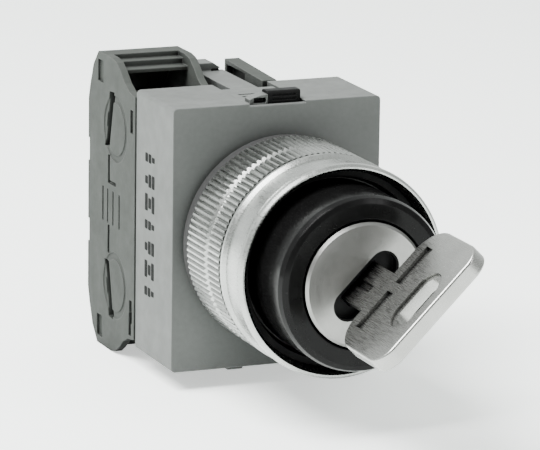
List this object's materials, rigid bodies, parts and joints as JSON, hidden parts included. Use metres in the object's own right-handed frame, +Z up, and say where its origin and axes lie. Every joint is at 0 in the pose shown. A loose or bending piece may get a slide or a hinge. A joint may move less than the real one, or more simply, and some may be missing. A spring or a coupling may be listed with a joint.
{
  "type": "selector key switch",
  "caption": "Key-operated selector switch: grey housing, knurled panel ring, black guard round a key lock, and contact blocks worked by a cam",
  "frame": {"origin": "on the operator axis, in the housing face that bears on the back of the panel", "axes": "+Z up, +Y to the rear along the operator axis, key towards -Y, +X to the right as seen from the key"},
  "size_m": [0.0372, 0.1021, 0.051],
  "materials": {
    "grey_body": "fine-grained moulded plastic",
    "grey_block": "moulded plastic",
    "black_plastic": "moulded plastic",
    "black_gloss": "smooth moulded plastic",
    "ring_metal": "satin plated and knurled",
    "neck_metal": "zinc die casting",
    "lock_nickel": "turned and nickel plated",
    "key_nickel": "stamped and nickel plated",
    "brass_parts": "stamped",
    "silver_contacts": "riveted contact tips",
    "steel": "plated",
    "spring_steel": "bright wire",
    "rubber_seal": "moulded",
    "white_plastic": "moulded plastic"
  },
  "bodies": {
    "switch_body": {"operator_housing": "grey_body", "mounting_plate": "grey_block", "housing_screws": "steel", "threaded_neck": "neck_metal", "lock_barrel": "neck_metal", "barrel_nut": "brass_parts", "lock_sleeve": "black_gloss", "detent_spring": "spring_steel", "left_block_housing": "grey_block", "left_block_cover": "black_plastic", "left_block_screw": "steel", "left_fixed_tips": "silver_contacts", "left_terminal_upper": "brass_parts", "left_terminal_lower": "brass_parts", "left_return_spring": "spring_steel", "right_block_housing": "grey_block", "right_block_cover": "black_plastic", "right_block_screw": "steel", "right_fixed_tips": "silver_contacts", "right_terminal_upper": "brass_parts", "right_terminal_lower": "brass_parts", "right_return_spring": "spring_steel"},
    "locking_slide": {"locking_lever": "grey_body", "lever_grip": "black_plastic"},
    "gasket": {"panel_gasket": "rubber_seal"},
    "clamping_ring": {"clamp_ring": "ring_metal"},
    "trim_insert": {"bezel_insert": "black_plastic"},
    "bezel": {"bezel_ring": "ring_metal"},
    "rotor": {"lock_plug": "lock_nickel", "retaining_clip": "steel", "drive_cam": "white_plastic", "cam_washer": "steel", "cam_screw": "steel"},
    "key_body": {"key": "key_nickel"},
    "odd_wafers": {"wafer_1": "brass_parts", "wafer_3": "brass_parts", "wafer_5": "brass_parts"},
    "even_wafers": {"wafer_2": "brass_parts", "wafer_4": "brass_parts"},
    "left_carrier": {"left_plunger": "white_plastic", "left_pusher": "white_plastic", "left_contact_bridge": "brass_parts", "left_bridge_tips": "silver_contacts", "left_contact_spring": "spring_steel"},
    "left_upper_clamp": {"left_clamp_plate_upper": "steel"},
    "left_upper_screw": {"left_terminal_screw_upper": "steel"},
    "left_lower_clamp": {"left_clamp_plate_lower": "steel"},
    "left_lower_screw": {"left_terminal_screw_lower": "steel"},
    "right_carrier": {"right_plunger": "white_plastic", "right_pusher": "white_plastic", "right_contact_bridge": "brass_parts", "right_bridge_tips": "silver_contacts", "right_contact_spring": "spring_steel"},
    "right_upper_clamp": {"right_clamp_plate_upper": "steel"},
    "right_upper_screw": {"right_terminal_screw_upper": "steel"},
    "right_lower_clamp": {"right_clamp_plate_lower": "steel"},
    "right_lower_screw": {"right_terminal_screw_lower": "steel"}
  },
  "joints": [
    {"name": "clamp_ring_travel", "type": "slide", "parent": "switch_body", "child": "gasket", "axis": [0, -1, 0], "range_m": [0, 0.004]},
    {"name": "clamp_ring_turn", "type": "hinge", "parent": "gasket", "child": "clamping_ring", "pos_m": [0, -0.008, 0], "axis": [0, -1, 0], "range_deg": [0, 720]},
    {"name": "bezel_travel", "type": "slide", "parent": "clamping_ring", "child": "trim_insert", "axis": [0, -1, 0], "range_m": [0, 0.003]},
    {"name": "bezel_turn", "type": "hinge", "parent": "trim_insert", "child": "bezel", "pos_m": [0, -0.02, 0], "axis": [0, -1, 0], "range_deg": [0, 540]},
    {"name": "key_turn", "type": "hinge", "parent": "switch_body", "child": "rotor", "pos_m": [0, 0, 0], "axis": [0, -1, 0], "range_deg": [0, 90], "deforming": ["left_return_spring", "right_return_spring"]},
    {"name": "key_travel", "type": "slide", "parent": "rotor", "child": "key_body", "axis": [0, -1, 0], "range_m": [0, 0.0245]},
    {"name": "odd_wafer_travel", "type": "slide", "parent": "rotor", "child": "odd_wafers", "axis": [0.7071, 0, 0.7071], "range_m": [0, 0.0006]},
    {"name": "even_wafer_travel", "type": "slide", "parent": "rotor", "child": "even_wafers", "axis": [-0.7071, 0, -0.7071], "range_m": [0, 0.0006]},
    {"name": "left_push", "type": "slide", "parent": "switch_body", "child": "left_carrier", "axis": [0, 1, 0], "range_m": [0, 0.0024]},
    {"name": "right_push", "type": "slide", "parent": "switch_body", "child": "right_carrier", "axis": [0, -1, 0], "range_m": [0, 0.0024]},
    {"name": "lock_lever_travel", "type": "slide", "parent": "switch_body", "child": "locking_slide", "axis": [0, 1, 0], "range_m": [0, 0.003]},
    {"name": "left_upper_clamp_travel", "type": "slide", "parent": "switch_body", "child": "left_upper_clamp", "axis": [0, 1, 0], "range_m": [0, 0.0015]},
    {"name": "left_upper_screw_turn", "type": "hinge", "parent": "left_upper_clamp", "child": "left_upper_screw", "pos_m": [-0.0114, 0.0235, 0.0145], "axis": [0, 1, 0], "range_deg": [0, 1080]},
    {"name": "left_lower_clamp_travel", "type": "slide", "parent": "switch_body", "child": "left_lower_clamp", "axis": [0, 1, 0], "range_m": [0, 0.0015]},
    {"name": "left_lower_screw_turn", "type": "hinge", "parent": "left_lower_clamp", "child": "left_lower_screw", "pos_m": [-0.0114, 0.0235, -0.0145], "axis": [0, 1, 0], "range_deg": [0, 1080]},
    {"name": "right_upper_clamp_travel", "type": "slide", "parent": "switch_body", "child": "right_upper_clamp", "axis": [0, 1, 0], "range_m": [0, 0.0015]},
    {"name": "right_upper_screw_turn", "type": "hinge", "parent": "right_upper_clamp", "child": "right_upper_screw", "pos_m": [0.0114, 0.0235, 0.0126], "axis": [0, 1, 0], "range_deg": [0, 1080]},
    {"name": "right_lower_clamp_travel", "type": "slide", "parent": "switch_body", "child": "right_lower_clamp", "axis": [0, 1, 0], "range_m": [0, 0.0015]},
    {"name": "right_lower_screw_turn", "type": "hinge", "parent": "right_lower_clamp", "child": "right_lower_screw", "pos_m": [0.0114, 0.0235, -0.0126], "axis": [0, 1, 0], "range_deg": [0, 1080]}
  ],
  "couplings": [
    {"joint": "clamp_ring_turn", "follows": "clamp_ring_travel", "rad_per_m": 3141.6},
    {"joint": "bezel_turn", "follows": "bezel_travel", "rad_per_m": 3141.6},
    {"joint": "odd_wafer_travel", "follows": "key_travel", "ratio": 0.02449},
    {"joint": "even_wafer_travel", "follows": "key_travel", "ratio": 0.02449},
    {"joint": "left_push", "follows": "key_turn", "m_per_rad": 0.0015279},
    {"joint": "right_push", "follows": "key_turn", "m_per_rad": 0.0015279},
    {"joint": "left_upper_screw_turn", "follows": "left_upper_clamp_travel", "rad_per_m": 12566},
    {"joint": "left_lower_screw_turn", "follows": "left_lower_clamp_travel", "rad_per_m": 12566},
    {"joint": "right_upper_screw_turn", "follows": "right_upper_clamp_travel", "rad_per_m": 12566},
    {"joint": "right_lower_screw_turn", "follows": "right_lower_clamp_travel", "rad_per_m": 12566}
  ]
}
